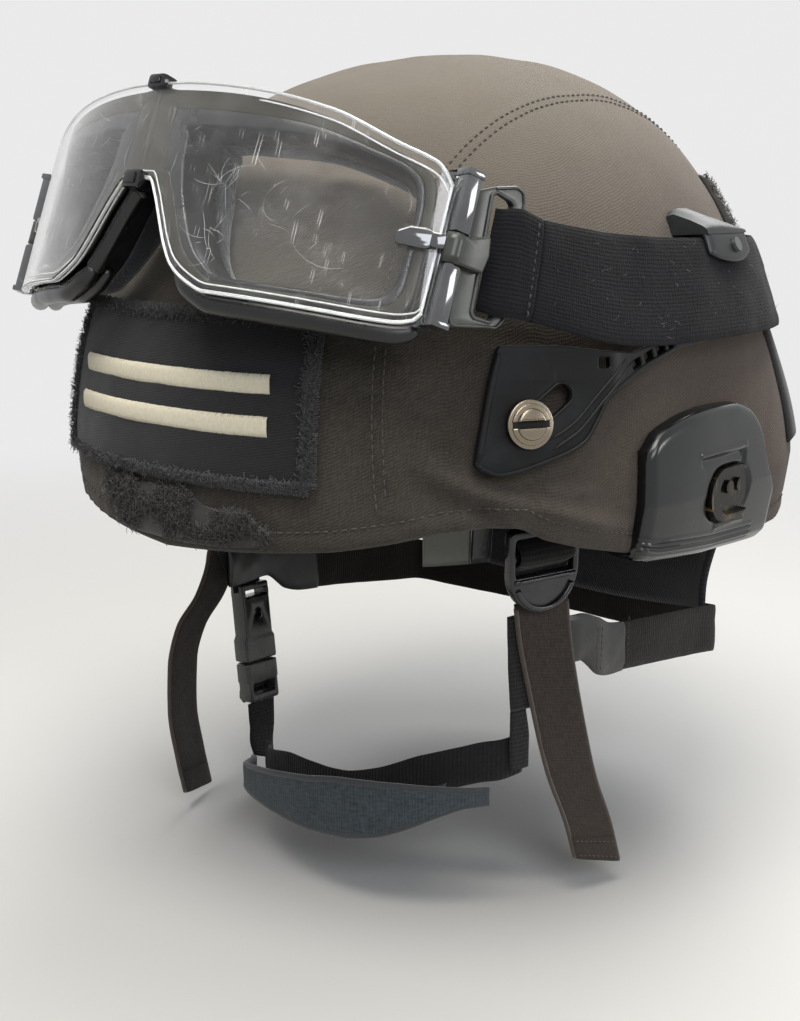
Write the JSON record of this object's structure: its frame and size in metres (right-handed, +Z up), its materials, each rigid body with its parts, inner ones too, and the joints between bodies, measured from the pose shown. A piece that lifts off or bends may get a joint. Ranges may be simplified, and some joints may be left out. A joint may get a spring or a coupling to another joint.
{
  "type": "ballistic helmet",
  "caption": "Cloth-covered ballistic helmet with goggles resting on the brow, side visor brackets, rim clips, and a webbing chin harness with a side-release buckle.",
  "frame": {"origin": "middle of the head opening, on the level plane of the rim", "axes": "+X forward, +Y to the wearer's left, +Z up"},
  "size_m": [0.3117, 0.2694, 0.3151],
  "materials": {
    "moulded aramid": "satin",
    "cover cloth": "matte",
    "edge rubber": "satin",
    "pad cloth": "matte",
    "headband leather": "satin",
    "nape cloth": "matte",
    "loop pile": "matte",
    "patch twill": "matte",
    "grey plastic": "satin",
    "rivet steel": "satin",
    "black plastic": "gloss",
    "worn brass": "satin",
    "zinc plate": "satin",
    "harness webbing": "matte",
    "black steel": "satin",
    "lock plastic": "satin",
    "brown webbing": "matte",
    "stitched sleeve": "satin",
    "clear polycarbonate": "gloss",
    "frame rubber": "gloss",
    "face foam": "matte",
    "elastic strap": "matte",
    "olive plastic": "satin",
    "bracket plastic": "satin",
    "nickel plate": "satin",
    "cup leather": "satin"
  },
  "bodies": {
    "helmet": {"aramid_shell": "moulded aramid", "fabric_cover": "cover cloth", "rim_trim": "edge rubber", "crown_pad": "pad cloth", "front_pad": "pad cloth", "rear_pad": "pad cloth", "left_side_pad": "pad cloth", "right_side_pad": "pad cloth", "headband": "headband leather", "nape_pad": "nape cloth", "front_loop_panel": "loop pile", "front_patch": "patch twill", "rear_loop_panel": "loop pile", "rear_patch": "patch twill", "left_strap_keeper": "grey plastic", "right_strap_keeper": "grey plastic", "keeper_rivets": "rivet steel", "left_rim_clip": "black plastic", "right_rim_clip": "black plastic", "rim_clip_screws": "worn brass", "bracket_inserts": "zinc plate", "left_harness_web": "harness webbing", "right_harness_web": "harness webbing", "harness_bolts": "black steel", "left_ladder_lock": "lock plastic", "right_ladder_lock": "lock plastic", "nape_strap": "brown webbing", "nape_junction": "stitched sleeve", "goggle_strap": "elastic strap", "left_chin_web": "harness webbing", "buckle_female": "lock plastic", "right_chin_web": "harness webbing"},
    "goggles": {"goggle_lens": "clear polycarbonate", "goggle_frame": "frame rubber", "goggle_foam": "face foam", "top_clip": "black plastic", "nose_clip": "black plastic", "left_hinge_bar": "lock plastic", "right_hinge_bar": "lock plastic"},
    "left_outrigger_body": {"left_outrigger": "olive plastic", "left_strap_loop": "elastic strap"},
    "right_outrigger_body": {"right_outrigger": "olive plastic", "right_strap_loop": "elastic strap"},
    "left_bracket_body": {"left_bracket": "bracket plastic"},
    "right_bracket_body": {"right_bracket": "bracket plastic"},
    "left_screw_body": {"left_screw": "nickel plate"},
    "right_screw_body": {"right_screw": "nickel plate"},
    "left_tail_body": {"left_tail": "brown webbing"},
    "right_tail_body": {"right_tail": "brown webbing"},
    "chin_strap": {"chin_root": "harness webbing", "front_chin_band": "harness webbing", "under_chin_band": "harness webbing", "chin_cup": "cup leather", "buckle_web": "harness webbing", "buckle_male": "lock plastic"}
  },
  "joints": [
    {"name": "goggles_swing", "type": "hinge", "parent": "helmet", "child": "goggles", "pos_m": [0.02, 0, 0.005], "axis": [0, 1, 0], "range_deg": [0, 52], "deforming": ["goggle_strap"]},
    {"name": "left_outrigger_hinge", "type": "hinge", "parent": "goggles", "child": "left_outrigger_body", "pos_m": [0.11545, 0.10363, 0.10449], "axis": [-0.3584, 0, 0.9336], "range_deg": [-6, 0]},
    {"name": "right_outrigger_hinge", "type": "hinge", "parent": "goggles", "child": "right_outrigger_body", "pos_m": [0.11545, -0.10363, 0.10449], "axis": [-0.3584, 0, 0.9336], "range_deg": [0, 6]},
    {"name": "left_bracket_slide", "type": "slide", "parent": "helmet", "child": "left_bracket_body", "axis": [0.7402, -0.3218, -0.5904], "range_m": [0, 0.004]},
    {"name": "right_bracket_slide", "type": "slide", "parent": "helmet", "child": "right_bracket_body", "axis": [0.7402, 0.3218, -0.5904], "range_m": [0, 0.004]},
    {"name": "left_screw_turn", "type": "hinge", "parent": "helmet", "child": "left_screw_body", "pos_m": [0.08292, 0.10601, 0.05071], "axis": [0.4861, 0.8627, 0.1392], "continuous": true},
    {"name": "right_screw_turn", "type": "hinge", "parent": "helmet", "child": "right_screw_body", "pos_m": [0.08292, -0.10601, 0.05071], "axis": [0.4861, -0.8627, 0.1392], "continuous": true},
    {"name": "left_tail_fold", "type": "hinge", "parent": "helmet", "child": "left_tail_body", "pos_m": [0.04317, 0.08441, -0.0243], "axis": [0.9659, -0.2588, 0], "range_deg": [0, 45]},
    {"name": "right_tail_fold", "type": "hinge", "parent": "helmet", "child": "right_tail_body", "pos_m": [0.04317, -0.08441, -0.0243], "axis": [-0.9659, -0.2588, 0], "range_deg": [0, 45]},
    {"name": "chin_strap_swing", "type": "hinge", "parent": "helmet", "child": "chin_strap", "pos_m": [0.0428, 0.08315, -0.062], "axis": [0.9659, -0.2588, 0], "range_deg": [0, 55]}
  ],
  "couplings": [
    {"joint": "left_outrigger_hinge", "follows": "goggles_swing", "ratio": -0.115},
    {"joint": "right_outrigger_hinge", "follows": "goggles_swing", "ratio": 0.115}
  ]
}
